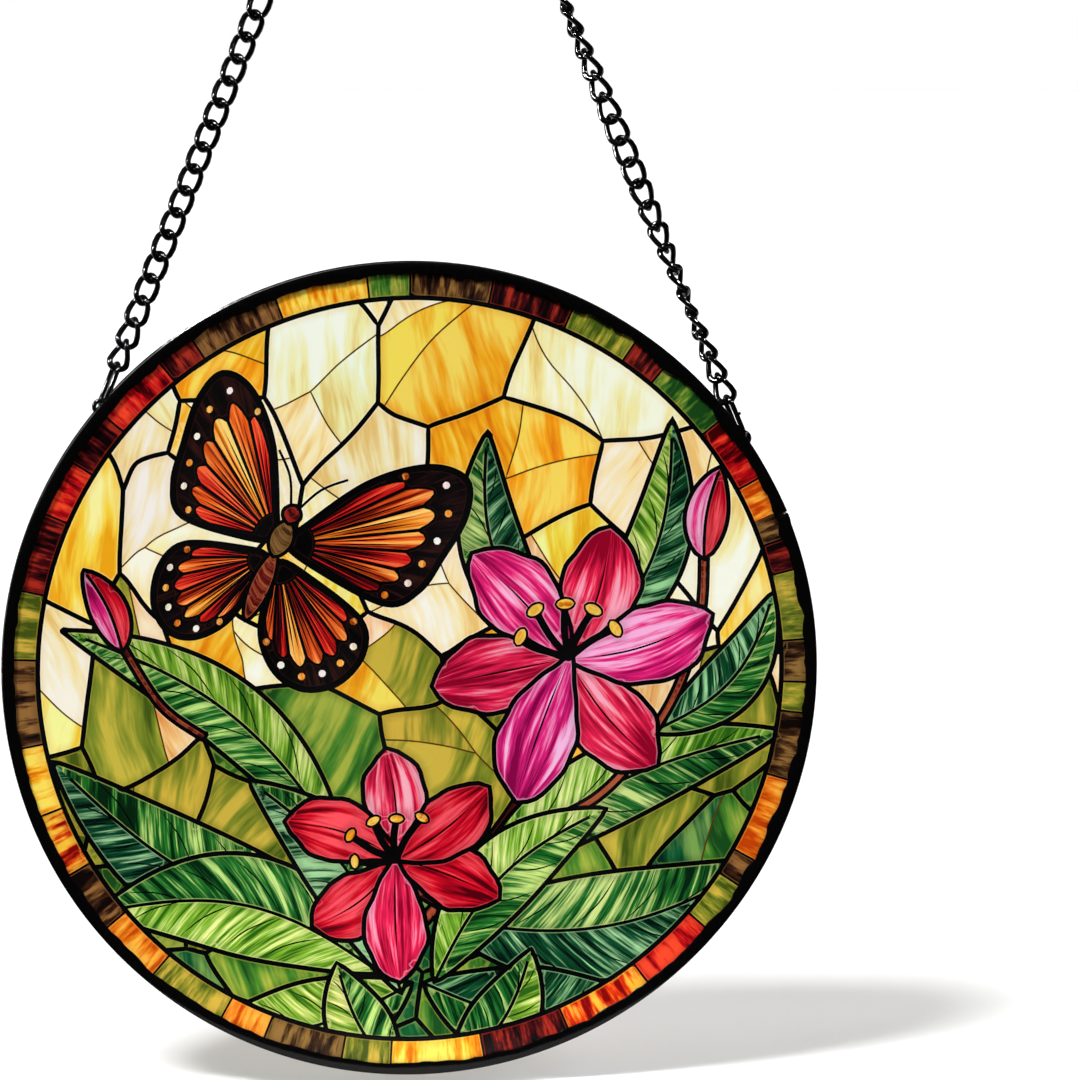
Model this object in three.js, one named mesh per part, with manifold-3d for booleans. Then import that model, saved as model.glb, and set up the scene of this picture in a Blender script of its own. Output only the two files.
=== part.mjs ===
import * as THREE from "three";
import { mergeVertices } from "three/addons/utils/BufferGeometryUtils.js";
import Module from "manifold-3d";

const wasm = await Module();
wasm.setup();

// A round acrylic suncatcher hanging from its own chain, in millimetres.
// X runs to the viewer's right and Z up, and the printed face looks along -Y.
// The origin is where a hook bears, under the upper wire of the chain's top link.

// The printed disc, in the channel of a metal strip
const discThickness = 3;
const frameRadius = 75;
const frameThickness = 0.5;
const lipWidth = 2.2;
const pieceGap = 0.3;
const seamGap = 0.3;
const seamAngle = 24.5;
const rimSides = 88;

// The wire eyes on the strip's outer wall, and how far each is from the disc's top
const eyeWire = 0.8;
const eyeInnerRadius = 0.9;
const eyeHeight = 0.5;
const eyeSpread = 52.4;
const solderGap = 0.1;
const eyeSides = 6;
const eyeSteps = 10;

// The twisted links: linkTwist is from the middle of a link to either end
const chainWire = 1;
const linkLength = 6.3;
const linkWidth = 4.45;
const linkTwist = 45;
const chainSides = 4;
const chainSteps = 10;
const fuseDepth = 0.02;
const topLinkTilt = 15;

// The plain links between the chain and the eyes
const endWire = 0.8;
const endLength = 9;
const endWidth = 4.4;
const endSides = 6;
const endSteps = 14;
const bearingGap = 0.3;

// Each side of the chain: how many links it has, and how each link is turned about the chain.
// turns lists [share of the way down, degrees] from the top link to the end link.
const chains = {
  left: { side: -1, links: 33, turns: [[0, -45], [0.2, 0], [0.9, 0], [1, -45]] },
  right: { side: 1, links: 35, turns: [[0, -225], [0.49, -90], [1, 135]] },
};

const black = new THREE.Color(0.02, 0.02, 0.022);
const amber = new THREE.Color(0.72, 0.5, 0.2);
const radians = THREE.MathUtils.degToRad;

const solidOf = (geometry) => {
  const bare = geometry.clone();
  bare.deleteAttribute("normal");
  bare.deleteAttribute("uv");
  const merged = mergeVertices(bare, 1e-4);
  return new wasm.Manifold(new wasm.Mesh({
    numProp: 3,
    vertProperties: merged.attributes.position.array,
    triVerts: new Uint32Array(merged.index.array),
  }));
};

const geometryOf = (solid) => {
  const { vertProperties, triVerts } = solid.getMesh();
  const geometry = new THREE.BufferGeometry();
  geometry.setAttribute("position", new THREE.BufferAttribute(vertProperties, 3));
  geometry.setIndex(new THREE.BufferAttribute(triVerts, 1));
  return geometry;
};

const piece = (name, geometry, color, metalness) => {
  const material = new THREE.MeshStandardMaterial({ color, roughness: 0.35, metalness });
  const mesh = new THREE.Mesh(geometry, material);
  mesh.name = name;
  return mesh;
};

// The middle line of a link's wire: an oval along Z whose ends are twisted opposite ways
class LinkLine extends THREE.Curve {
  constructor(halfWidth, halfLength, twist) {
    super();
    Object.assign(this, { halfWidth, halfLength, twist });
  }

  getPoint(t, target = new THREE.Vector3()) {
    const around = 2 * Math.PI * t;
    const across = this.halfWidth * Math.cos(around);
    const lean = -this.twist * Math.sin(around);
    return target.set(
      across * Math.cos(lean),
      across * Math.sin(lean),
      this.halfLength * Math.sin(around),
    );
  }
}

// The middle line of an eye's wire: a half ring on two short legs, standing on the disc's top
class EyeLine extends THREE.Curve {
  constructor(radius, foot, centre) {
    super();
    Object.assign(this, { radius, foot, centre });
  }

  getPoint(t, target = new THREE.Vector3()) {
    const leg = this.centre - this.foot;
    const arc = Math.PI * this.radius;
    const along = t * (2 * leg + arc);
    if (along < leg) return target.set(-this.radius, 0, this.foot + along);
    if (along > leg + arc) return target.set(this.radius, 0, this.centre - (along - leg - arc));
    const angle = Math.PI - (along - leg) / this.radius;
    return target.set(this.radius * Math.cos(angle), 0, this.centre + this.radius * Math.sin(angle));
  }
}

// Lengths and radii along the wires' middle lines
const halfLink = (linkLength - chainWire) / 2;
const halfWide = (linkWidth - chainWire) / 2;
const linkPitch = 2 * halfLink - chainWire;
const halfEnd = (endLength - endWire) / 2;
const eyeRadius = eyeInnerRadius + eyeWire / 2;
const eyeDistance = frameRadius + eyeHeight;

// Each end of a link is the middle of one of its straight steps, at the link's true length.
const linkGeometry = (wire, length, width, twist, turn, steps, sides) => {
  const halfLength = (length - wire) / 2 / Math.cos(Math.PI / steps);
  const line = new LinkLine((width - wire) / 2, halfLength, radians(twist));
  return new THREE.TubeGeometry(line, steps, wire / 2 + fuseDepth, sides, true)
    .rotateZ(radians(turn));
};

// The top link lies along X, tilted. The highest point of its inner side is the origin.
const tilt = radians(topLinkTilt);
const topRise = Math.hypot(halfLink * Math.sin(tilt), halfWide * Math.cos(tilt));
const topCentre = new THREE.Vector3(
  -(halfLink ** 2 - halfWide ** 2) * Math.sin(tilt) * Math.cos(tilt) / topRise,
  0,
  chainWire / 2 - topRise,
);

// How far from the origin a line that leans from straight down meets the top link's lower wire
const topLinkReach = (lean) => {
  const down = new THREE.Vector3(Math.sin(lean), 0, -Math.cos(lean));
  const scaled = (v) => new THREE.Vector2(
    (v.x * Math.cos(tilt) + v.z * Math.sin(tilt)) / halfLink,
    (v.z * Math.cos(tilt) - v.x * Math.sin(tilt)) / halfWide,
  );
  const ray = scaled(down);
  const start = scaled(topCentre).negate();
  const along = ray.dot(start);
  const spare = along ** 2 - ray.lengthSq() * (start.lengthSq() - 1);
  return (Math.sqrt(spare) - along) / ray.lengthSq();
};

// Distances down one side of the chain, from the origin to the middles of its links and its eye
const layOut = (chain) => {
  const firstTop = topLinkReach(chain.lean) - chainWire - bearingGap;
  const lastBottom = firstTop + 2 * halfLink + (chain.links - 1) * linkPitch;
  const endTop = lastBottom - (chainWire + endWire) / 2 - bearingGap;
  const endBottom = endTop + 2 * halfEnd;
  chain.firstMiddle = firstTop + halfLink;
  chain.endMiddle = endTop + halfEnd;
  chain.eyeCentre = endBottom - (endWire + eyeWire) / 2 - bearingGap + eyeRadius;
};

// The disc hangs with its middle straight below the origin. In the disc's own frame the origin is
// where two circles round the eyes meet, and the disc rolls until that point is above its middle.
const { left, right } = chains;
const eyeAcross = eyeDistance * Math.sin(radians(eyeSpread));
const eyeAbove = eyeDistance * Math.cos(radians(eyeSpread));
let roll = 0;
let drop = 0;
left.lean = -radians(22);
right.lean = radians(22);
for (let pass = 0; pass < 8; pass += 1) {
  layOut(left);
  layOut(right);
  const hookAcross = (left.eyeCentre ** 2 - right.eyeCentre ** 2) / (4 * eyeAcross);
  const hookAbove = eyeAbove + Math.sqrt(left.eyeCentre ** 2 - (hookAcross + eyeAcross) ** 2);
  roll = -Math.atan2(hookAcross, hookAbove);
  drop = Math.hypot(hookAcross, hookAbove);
  for (const chain of [left, right]) {
    const eyeAngle = chain.side * radians(eyeSpread) + roll;
    chain.lean = Math.atan2(eyeDistance * Math.sin(eyeAngle), drop - eyeDistance * Math.cos(eyeAngle));
  }
}

// The disc and what is fixed to it
const channelHalf = discThickness / 2 + pieceGap;
const frameHalf = channelHalf + frameThickness;
const innerWall = frameRadius - frameThickness;

const discGeometry = () => {
  const radius = innerWall - pieceGap;
  return new THREE.CylinderGeometry(radius, radius, discThickness, rimSides);
};

const frameGeometry = () => {
  const lipRadius = frameRadius - lipWidth;
  const profile = [
    [lipRadius, -frameHalf],
    [frameRadius, -frameHalf],
    [frameRadius, frameHalf],
    [lipRadius, frameHalf],
    [lipRadius, channelHalf],
    [innerWall, channelHalf],
    [innerWall, -channelHalf],
    [lipRadius, -channelHalf],
    [lipRadius, -frameHalf],
  ].map(([radius, depth]) => new THREE.Vector2(radius, depth));
  const ring = new THREE.LatheGeometry(profile, rimSides);
  const slot = new THREE.BoxGeometry(2 * lipWidth, 3 * frameHalf, seamGap)
    .translate(frameRadius - lipWidth / 2, 0, 0)
    .rotateY(-radians(seamAngle));
  return geometryOf(solidOf(ring).subtract(solidOf(slot)));
};

const eyeGeometry = (side) => {
  const section = new THREE.Shape();
  for (let i = 0; i < eyeSides; i += 1) {
    const angle = 2 * Math.PI * (i + 0.5) / eyeSides;
    section[i ? "lineTo" : "moveTo"](eyeWire / 2 * Math.cos(angle), eyeWire / 2 * Math.sin(angle));
  }
  const extrudePath = new EyeLine(eyeRadius, frameRadius + solderGap, eyeDistance);
  return new THREE.ExtrudeGeometry(section, { steps: eyeSteps, extrudePath })
    .rotateY(side * radians(eyeSpread));
};

const plate = new THREE.Group();
plate.add(piece("acrylic_disc", discGeometry(), amber, 0));
plate.add(piece("frame_strip", frameGeometry(), black, 1));
plate.add(piece("hanging_eye_left", eyeGeometry(left.side), black, 1));
plate.add(piece("hanging_eye_right", eyeGeometry(right.side), black, 1));
plate.rotation.y = roll;
plate.position.z = -drop;

// How far the link at a share of the way down is turned about the chain
const turnAt = (turns, share) => {
  const next = Math.max(1, turns.findIndex(([way]) => way >= share));
  const [fromWay, fromTurn] = turns[next - 1];
  const [toWay, toTurn] = turns[next];
  return THREE.MathUtils.mapLinear(share, fromWay, toWay, fromTurn, toTurn);
};

const chainGeometry = ({ links, turns }) => {
  let run = null;
  for (let i = 0; i < links; i += 1) {
    const turn = turnAt(turns, i / (links - 1));
    const link = linkGeometry(
      chainWire, linkLength, linkWidth, linkTwist, turn, chainSteps, chainSides,
    ).translate(0, 0, -i * linkPitch);
    run = run ? run.add(solidOf(link)) : solidOf(link);
  }
  return geometryOf(run);
};

const endLinkGeometry = () =>
  linkGeometry(endWire, endLength, endWidth, 0, 90, endSteps, endSides);

const hangingSide = (name, chain) => {
  const links = piece(`chain_${name}`, chainGeometry(chain), black, 1);
  links.position.z = -chain.firstMiddle;
  const end = piece(`end_link_${name}`, endLinkGeometry(), black, 1);
  end.position.z = -chain.endMiddle;
  const side = new THREE.Group();
  side.add(links, end);
  side.rotation.y = -chain.lean;
  return side;
};

const topLinkGeometry = () =>
  linkGeometry(chainWire, linkLength, linkWidth, 0, 0, chainSteps, endSides).rotateY(Math.PI / 2);

const topLink = piece("top_link", topLinkGeometry(), black, 1);
topLink.rotation.y = -tilt;
topLink.position.copy(topCentre);

const suncatcher = new THREE.Group();
suncatcher.add(plate, hangingSide("left", left), hangingSide("right", right), topLink);

export default suncatcher;
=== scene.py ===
import math
import random

import bpy
import numpy as np
from mathutils import Matrix, Vector, geometry, kdtree, noise


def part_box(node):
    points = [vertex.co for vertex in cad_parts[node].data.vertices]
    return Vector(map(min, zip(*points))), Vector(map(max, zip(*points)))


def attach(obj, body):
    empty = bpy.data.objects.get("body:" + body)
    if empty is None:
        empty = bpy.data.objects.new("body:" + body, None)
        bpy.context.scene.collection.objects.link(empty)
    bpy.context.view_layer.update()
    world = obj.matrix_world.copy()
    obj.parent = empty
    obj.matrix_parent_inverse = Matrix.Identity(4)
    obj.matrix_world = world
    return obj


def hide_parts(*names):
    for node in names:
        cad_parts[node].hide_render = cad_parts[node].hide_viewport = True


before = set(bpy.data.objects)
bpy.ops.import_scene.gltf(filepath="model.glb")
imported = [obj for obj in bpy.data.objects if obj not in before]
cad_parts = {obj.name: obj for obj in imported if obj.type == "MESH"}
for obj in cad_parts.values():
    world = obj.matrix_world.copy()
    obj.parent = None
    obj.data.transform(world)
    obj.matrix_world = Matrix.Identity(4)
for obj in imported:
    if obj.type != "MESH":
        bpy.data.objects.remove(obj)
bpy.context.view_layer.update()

mm = 0.001
degree = math.pi / 180


# ways of working that every piece uses

def deselectAll():
    if bpy.context.object and bpy.context.object.mode != "OBJECT":
        bpy.ops.object.mode_set(mode="OBJECT")
    bpy.ops.object.select_all(action="DESELECT")


def pickOnly(piece):
    deselectAll()
    piece.select_set(True)
    bpy.context.view_layer.objects.active = piece


def leaveEditMode():
    bpy.ops.object.mode_set(mode="OBJECT")


def selectVerts(piece, wanted):
    # selects by place, from object mode, and leaves edit mode on
    bpy.ops.object.mode_set(mode="EDIT")
    bpy.ops.mesh.select_mode(type="VERT")
    bpy.ops.mesh.select_all(action="DESELECT")
    bpy.ops.object.mode_set(mode="OBJECT")
    for vert in piece.data.vertices:
        vert.select = bool(wanted(vert.co))
    bpy.ops.object.mode_set(mode="EDIT")


def applyModifiers(piece):
    pickOnly(piece)
    for modifier in list(piece.modifiers):
        bpy.ops.object.modifier_apply(modifier=modifier.name)


def placeInMesh(piece):
    pickOnly(piece)
    bpy.ops.object.transform_apply(location=True, rotation=True, scale=True)


def joinPieces(pieces, name):
    deselectAll()
    for piece in pieces:
        piece.select_set(True)
    bpy.context.view_layer.objects.active = pieces[0]
    bpy.ops.object.join()
    joined = bpy.context.object
    joined.name = joined.data.name = name
    return joined


def closeAndTurnOut(piece):
    pickOnly(piece)
    bpy.ops.object.mode_set(mode="EDIT")
    bpy.ops.mesh.select_all(action="SELECT")
    bpy.ops.mesh.remove_doubles(threshold=0.002 * mm)
    bpy.ops.mesh.normals_make_consistent(inside=False)
    leaveEditMode()


def smoothFaces(piece, angle):
    pickOnly(piece)
    bpy.ops.object.shade_smooth_by_angle(angle=angle * degree)


def copyOf(piece, matrix):
    copy = piece.copy()
    copy.data = piece.data.copy()
    copy.data.transform(matrix)
    bpy.context.collection.objects.link(copy)
    return copy


def handOver(piece, node, material):
    piece.data.materials.clear()
    piece.data.materials.append(material)
    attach(piece, "root")
    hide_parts(node)


# materials: small helpers for the node trees

def newMaterial(name):
    material = bpy.data.materials.new(name)
    material.use_nodes = True
    return material, material.node_tree, material.node_tree.nodes["Principled BSDF"]


def addNode(tree, kind, **values):
    node = tree.nodes.new(kind)
    for key, value in values.items():
        if key in node.inputs:
            node.inputs[key].default_value = value
        else:
            setattr(node, key, value)
    return node


def noiseNode(tree, vector, scale, detail, roughness):
    node = addNode(tree, "ShaderNodeTexNoise", Scale=scale, Detail=detail, Roughness=roughness)
    tree.links.new(vector, node.inputs["Vector"])
    return node.outputs["Fac"]


def rangeOf(tree, value, low, high, toLow, toHigh):
    node = addNode(tree, "ShaderNodeMapRange")
    for index, number in enumerate((low, high, toLow, toHigh), 1):
        node.inputs[index].default_value = number
    tree.links.new(value, node.inputs[0])
    return node.outputs[0]


enamel = {
    "frame": {"worn": (0.0018, 0.0018, 0.002), "gloss": (0.1, 0.2), "grain": 900},
    "chain": {"worn": (0.004, 0.004, 0.0045), "gloss": (0.04, 0.09), "grain": 1600},
    "color": (0.001, 0.001, 0.0012),
    "bump": 0.03 * mm,
}


def enamelMaterial(name, look):
    # black paint over metal: uneven gloss, and a little wear in patches
    material, tree, shader = newMaterial(name)
    place = addNode(tree, "ShaderNodeTexCoord").outputs["Object"]
    patches = noiseNode(tree, place, look["grain"] * 0.25, 4, 0.6)
    grain = noiseNode(tree, place, look["grain"], 2, 0.5)
    mix = addNode(tree, "ShaderNodeMix", data_type="RGBA")
    tree.links.new(rangeOf(tree, patches, 0.6, 0.8, 0.0, 1.0), mix.inputs[0])
    mix.inputs[6].default_value = (*enamel["color"], 1)
    mix.inputs[7].default_value = (*look["worn"], 1)
    tree.links.new(mix.outputs[2], shader.inputs["Base Color"])
    tree.links.new(rangeOf(tree, grain, 0.3, 0.7, *look["gloss"]), shader.inputs["Roughness"])
    bump = addNode(tree, "ShaderNodeBump", Strength=0.08, Distance=enamel["bump"])
    tree.links.new(grain, bump.inputs["Height"])
    tree.links.new(bump.outputs["Normal"], shader.inputs["Normal"])
    shader.inputs["Specular IOR Level"].default_value = 0.2
    return material


frameEnamel = enamelMaterial("frameEnamel", enamel["frame"])
chainEnamel = enamelMaterial("chainEnamel", enamel["chain"])
print("materials: black enamels made")


# where the CAD's pieces are, and the sizes that its boxes don't give
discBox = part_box("acrylic_disc")
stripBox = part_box("frame_strip")
discCentre = (stripBox[0] + stripBox[1]) / 2
stripRadius = (stripBox[1].x - stripBox[0].x) / 2
stripDepth = stripBox[1].y - stripBox[0].y
discThickness = discBox[1].y - discBox[0].y


# the folded strip round the disc's edge
strip = {
    "thickness": 0.5 * mm,
    "lip": 2.2 * mm,
    "fold": 0.14 * mm,
    "taper": 0.2 * mm,        # how much smaller the wall is at the back
    "flare": 0.27 * mm,       # how far the back edge stands out of it
    "flareDepth": 0.25 * mm,
    "flareStep": 0.03 * mm,   # half the depth over which the edge steps out
    "seamAngle": 21.4,        # degrees above level, at the right
    "seamGap": 0.3 * mm,
    "steps": 432,
    "waveHeight": 0.85 * mm,  # how unevenly the lips' inner edges were folded
    "waveMost": 38,           # degrees above level, where they are most uneven
    "seamStep": 0.12 * mm,
}


def makeStrip():
    deselectAll()
    radius = stripRadius
    bpy.ops.mesh.primitive_plane_add(size=1, location=(0, 0, 0))
    piece = bpy.context.object
    # the plane becomes the channel's wall, and its lips are extruded from the two long edges
    corners = [(-0.5, -0.5), (0.5, -0.5), (-0.5, 0.5), (0.5, 0.5)]
    gapAngle = strip["seamGap"] / radius
    start = strip["seamAngle"] * degree + gapAngle / 2
    step = (2 * math.pi - gapAngle) / strip["steps"]
    for vert, (across, deep) in zip(piece.data.vertices, corners):
        angle = start + (step if across > 0 else 0)
        vert.co = (radius * math.cos(angle), deep * stripDepth, radius * math.sin(angle))
    # one step of the wall gets its lips, then the step is repeated round the disc
    for side in (-1, 1):
        selectVerts(piece, lambda co, side=side: co.y * side > stripDepth * 0.49)
        bpy.ops.mesh.extrude_edges_move()
        shrink = (radius - strip["lip"]) / radius
        bpy.ops.transform.resize(value=(shrink, 1, shrink), center_override=(0, 0, 0))
        leaveEditMode()
    selectVerts(piece, lambda co: True)
    bpy.ops.mesh.spin(steps=strip["steps"] - 1, dupli=True, angle=-step * (strip["steps"] - 1),
                      center=(0, 0, 0), axis=(0, 1, 0))
    leaveEditMode()
    closeAndTurnOut(piece)
    solid = piece.modifiers.new("sheet", "SOLIDIFY")
    solid.thickness = strip["thickness"]
    solid.offset = -1
    solid.use_even_offset = True
    bevel = piece.modifiers.new("folds", "BEVEL")
    bevel.width = strip["fold"]
    bevel.segments = 2
    bevel.limit_method = "ANGLE"
    bevel.angle_limit = 60 * degree
    applyModifiers(piece)
    # two cuts close together, where the back edge will step out
    for more in (strip["flareStep"], -strip["flareStep"]):
        selectVerts(piece, lambda co: True)
        flareStart = stripDepth / 2 - strip["flareDepth"] + more
        bpy.ops.mesh.bisect(plane_co=(0, flareStart, 0), plane_no=(0, 1, 0))
        leaveEditMode()
    unevenStrip(piece)
    piece.location = discCentre
    placeInMesh(piece)
    closeAndTurnOut(piece)
    smoothFaces(piece, 35)
    piece.name = piece.data.name = "frameStrip"
    return piece


def unevenStrip(piece):
    # the lips' inner edges wander, the wall narrows to a flared back edge, and the ends don't quite meet
    radius = stripRadius
    backEdge = stripDepth / 2
    for vert in piece.data.vertices:
        x, y, z = vert.co
        far = math.hypot(x, z)
        angle = math.atan2(z, x)
        inward = min(1, (radius - far) / strip["lip"])
        wander = 0
        for size, share in ((7, 0.5), (19, 0.7), (43, 0.45)):
            spot = Vector((math.cos(angle), math.sin(angle), 0)) * size
            wander += share * noise.noise(spot + Vector((0, 0, size + (4 if y > 0 else 0))))
        wander *= 0.65 + 0.85 * max(0, math.cos(angle - strip["waveMost"] * degree))
        shift = strip["waveHeight"] * wander * inward
        shift -= strip["taper"] * (0.5 + y / stripDepth) * (1 - inward)
        if backEdge - y < strip["flareDepth"]:
            shift += strip["flare"] * max(0, 1 - 3 * inward)
        fromSeam = (angle - strip["seamAngle"] * degree + math.pi) % (2 * math.pi) - math.pi
        nearSeam = math.exp(-(fromSeam / 0.09) ** 2)
        shift += strip["seamStep"] * nearSeam * (1 if fromSeam > 0 else -0.4)
        scale = (far + shift) / far
        vert.co = (x * scale, y, z * scale)


frameStrip = makeStrip()
handOver(frameStrip, "frame_strip", frameEnamel)
print("frame strip made:", len(frameStrip.data.vertices), "points")


# the printed disc: flat, with a stained-glass picture on both faces
picture = {
    "ringRadius": 68.45,      # mm, the black line inside the border
    "ringHalf": 0.45,         # mm, half its width
    "leadHalf": 0.44,         # mm, half the width of the black lines
    "hairHalf": 0.15,         # mm, half the width of the thin brown lines
    "grid": 1.25,             # mm, between the points inside the cells of glass
    "step": 1.1,              # mm, between the points along a line
    "rimSteps": 288,
    "seed": 5,
    "noiseSeed": 7,
}
palettes = {                  # dark, middle and light of each colour of glass
    "cream": ((240, 202, 118), (252, 238, 176), (255, 253, 236)),
    "lemon": ((242, 166, 22), (253, 218, 70), (255, 245, 160)),
    "amber": ((228, 112, 8), (250, 176, 28), (255, 226, 92)),
    "peach": ((228, 146, 70), (247, 202, 134), (254, 238, 204)),
    "orange": ((190, 64, 6), (236, 124, 22), (251, 182, 66)),
    "olive": ((66, 84, 20), (128, 136, 40), (206, 178, 66)),
    "moss": ((22, 70, 24), (70, 128, 40), (166, 176, 66)),
    "deepGreen": ((4, 38, 24), (18, 92, 48), (120, 164, 76)),
    "leafDark": ((2, 20, 13), (12, 74, 42), (160, 212, 152)),
    "leaf": ((4, 34, 14), (34, 116, 42), (200, 228, 132)),
    "leafLime": ((40, 92, 20), (126, 174, 48), (232, 236, 150)),
    "magenta": ((136, 4, 66), (236, 36, 126), (255, 186, 224)),
    "rose": ((140, 4, 38), (238, 36, 84), (254, 168, 196)),
    "crimson": ((76, 0, 12), (208, 10, 36), (248, 84, 96)),
    "stem": ((34, 6, 8), (112, 24, 22), (186, 92, 56)),
    "gold": ((186, 92, 8), (246, 172, 30), (255, 226, 110)),
    "fire": ((124, 6, 8), (230, 58, 16), (254, 188, 58)),
    "ruby": ((60, 0, 6), (196, 14, 22), (244, 70, 40)),
    "maroon": ((14, 2, 4), (66, 10, 14), (168, 44, 30)),
    "umber": ((12, 6, 4), (60, 34, 18), (146, 104, 54)),
    "wingRed": ((44, 2, 6), (214, 26, 24), (250, 104, 56)),
    "wingOrange": ((104, 14, 8), (240, 92, 28), (254, 190, 92)),
    "wingGold": ((150, 50, 10), (248, 146, 34), (255, 220, 120)),
    "soot": ((3, 2, 3), (10, 6, 7), (52, 22, 18)),
    "pearl": ((220, 200, 180), (250, 240, 220), (255, 255, 250)),
    "black": ((2, 2, 3), (3, 3, 4), (5, 5, 6)),
    "hair": ((50, 26, 8), (84, 50, 14), (104, 66, 24)),
}
chance = random.Random(picture["seed"])
layers = []                   # what is painted, from the back to the front


def linear(tone):
    return [(c / 255 / 12.92 if c <= 10 else ((c / 255 + 0.055) / 1.055) ** 2.4) for c in tone]


def unit(angle):
    return np.array((math.cos(angle), math.sin(angle)))


def waysOf(line):
    # at each point of a line, the way it runs and the way to its left
    ways = np.gradient(line, axis=0)
    ways /= np.linalg.norm(ways, axis=1)[:, None]
    return ways, np.stack((-ways[:, 1], ways[:, 0]), axis=1)


def ringOf(one, other):
    # the outline of a petal or leaf, from its two sides
    return np.concatenate((one, other[-2:0:-1]))


def smoothLine(points, closed=False):
    # a soft curve through the points, in steps of about the same length
    points = [np.array(p, float) for p in points]
    count = len(points)
    spans = count if closed else count - 1
    line = []
    for i in range(spans):
        if closed:
            a, b, c, d = (points[(i + k) % count] for k in (-1, 0, 1, 2))
        else:
            a, b, c, d = (points[min(max(i + k, 0), count - 1)] for k in (-1, 0, 1, 2))
        parts = max(2, round(float(np.linalg.norm(c - b)) / picture["step"]))
        for part in range(parts):
            t = part / parts
            line.append(0.5 * (2 * b + (c - a) * t + (2 * a - 5 * b + 4 * c - d) * t ** 2
                               + (3 * b - a - 3 * c + d) * t ** 3))
    if not closed:
        line.append(points[-1])
    return np.array(line)


def straightLine(points):
    line = []
    for b, c in zip(points, points[1:]):
        b, c = np.array(b, float), np.array(c, float)
        parts = max(1, math.ceil(float(np.linalg.norm(c - b)) / picture["step"]))
        line += [b + (c - b) * part / parts for part in range(parts)]
    line.append(np.array(points[-1], float))
    return np.array(line)


def addLine(line, half=None, closed=False, palette="black", taper=False):
    half = picture["leadHalf"] if half is None else half
    count = len(line)
    halves = np.full(count, half)
    if taper:
        fromEnd = np.minimum(np.arange(count), np.arange(count)[::-1])
        halves = half * np.clip(fromEnd / (count * 0.3), 0.12, 1)
    layers.append({"kind": "line", "line": line, "halves": halves, "closed": closed, "palette": palette})


def addCell(outline, palette, flow, stretch=(0.09, 0.55), contrast=1.0, shift=0.0, lead=None,
            paleEdge=True):
    layers.append({"kind": "cell", "line": outline, "palette": palette, "flow": flow, "stretch": stretch,
                   "contrast": contrast, "shift": shift, "paleEdge": paleEdge, "seed": chance.uniform(0, 500),
                   "jitter": [chance.uniform(0.92, 1.06) for _ in range(3)]})
    if lead != 0:
        addLine(outline, lead, True)


def plainFlow(angle):
    # streaks run one way, and waver
    across, along = unit(angle), np.array((-math.sin(angle), math.cos(angle)))

    def flow(points):
        u, v = points @ along, points @ across
        v = v + 0.9 * np.sin(u * 0.13 + angle * 7) + 0.3 * np.sin(u * 0.37 + v * 0.2)
        return u, v, np.zeros(len(points))
    return flow


def polarFlow(centre, reach, dark=0.5):
    # streaks run out from a point, dark at the root
    def flow(points):
        away = points - centre
        far = np.hypot(*away.T)
        angle = np.arctan2(away[:, 1], away[:, 0])
        return far, angle * reach * 0.6, np.clip(far / reach, 0, 1) * dark * 1.5 - dark
    return flow


def axisFlow(axis, vein, width, half=1):
    # petal: streaks follow the middle line; leaf: they slant out from the midrib, on one side of it
    steps = np.linalg.norm(np.diff(axis, axis=0), axis=1)
    lengths = np.concatenate(([0], np.cumsum(steps)))
    ways = waysOf(axis)[0]

    def flow(points):
        gaps = points[:, None, :] - axis[None, :, :]
        near = np.argmin(np.sum(gaps ** 2, axis=2), axis=1)
        gap = gaps[np.arange(len(points)), near]
        way = ways[near]
        along = lengths[near] + np.sum(gap * way, axis=1)
        side = gap[:, 1] * way[:, 0] - gap[:, 0] * way[:, 1]
        share = np.clip(along / lengths[-1], 0, 1)
        if vein:
            out = np.maximum(side * half, 0)
            return out, along - out * vein, 0.16 * np.sin(share * math.pi) - 0.1 * out / width
        spread = side / (0.35 + 0.65 * np.sin(np.clip(share, 0.05, 0.95) * math.pi))
        bias = 0.62 * np.sin(np.clip(share * 1.15, 0, 1) * math.pi) - 0.42
        return along, spread, bias
    return flow


def ovalSides(base, tip, width, bend, belly, point, parts=None):
    # the middle line and the two sides of a petal or leaf
    base, tip = np.array(base, float), np.array(tip, float)
    span = tip - base
    length = float(np.linalg.norm(span))
    normal = np.array((-span[1], span[0])) / length
    parts = parts or max(8, int(length / picture["step"]))
    shares = np.linspace(0, 1, parts + 1)
    axis = base + shares[:, None] * span + normal * (bend * np.sin(shares * math.pi))[:, None]
    normals = waysOf(axis)[1]
    widths = width / 2 * np.sin(math.pi * shares ** belly) ** point
    return axis, axis + normals * widths[:, None], axis - normals * widths[:, None]


def addPetal(base, tip, width, bend, palette):
    axis, one, other = ovalSides(base, tip, width, bend, 1.35, 0.72)
    ripple = [chance.uniform(0, 6) for _ in range(2)]
    outline = ringOf(one, other)
    centre = outline.mean(axis=0)
    turn = np.linspace(0, 2 * math.pi, len(outline), endpoint=False)
    far = 1 + 0.025 * np.sin(turn * 5 + ripple[0]) + 0.018 * np.sin(turn * 9 + ripple[1])
    outline = centre + (outline - centre) * far[:, None]
    addCell(outline, palette, axisFlow(axis, 0, width), (0.05, 0.5), 1.15)
    count = len(axis)
    addLine(axis[int(count * 0.1):int(count * 0.86)], 0.17, taper=True)


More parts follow.
